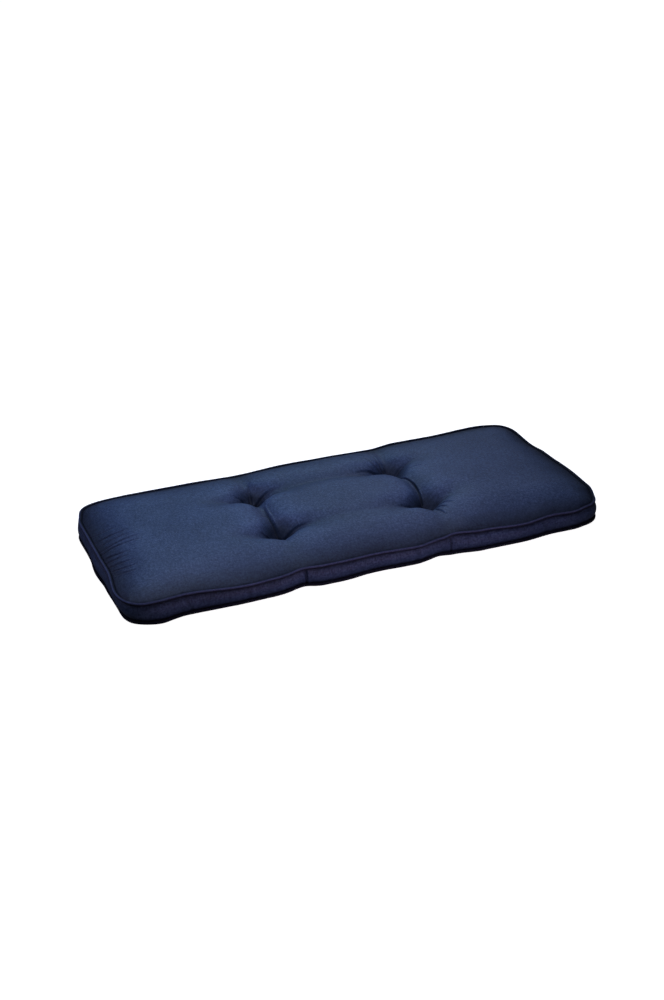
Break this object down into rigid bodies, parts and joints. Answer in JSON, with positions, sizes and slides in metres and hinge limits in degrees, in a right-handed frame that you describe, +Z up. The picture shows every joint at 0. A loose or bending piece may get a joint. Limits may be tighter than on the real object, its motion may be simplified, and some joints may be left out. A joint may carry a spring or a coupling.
{
  "type": "bench cushion",
  "caption": "Long rectangular bench cushion with a crowned, tufted top, boxed sides and a piped seam along its top and bottom edges. It lies flat on a bench or window seat.",
  "frame": {"origin": "middle of the cushion's box, on the plane that it lies on", "axes": "+X along the bench, to the right as seen from the front; +Y from the front edge to the back edge; +Z up out of the seat"},
  "size_m": [1.2232, 0.5268, 0.0905],
  "materials": {
    "cover_cloth": "matte heathered navy weave",
    "welt_cloth": "matte dark navy bias strip over cord"
  },
  "bodies": {
    "root": {"cushion_body": "cover_cloth", "top_piping": "welt_cloth", "bottom_piping": "welt_cloth"}
  },
  "joints": []
}
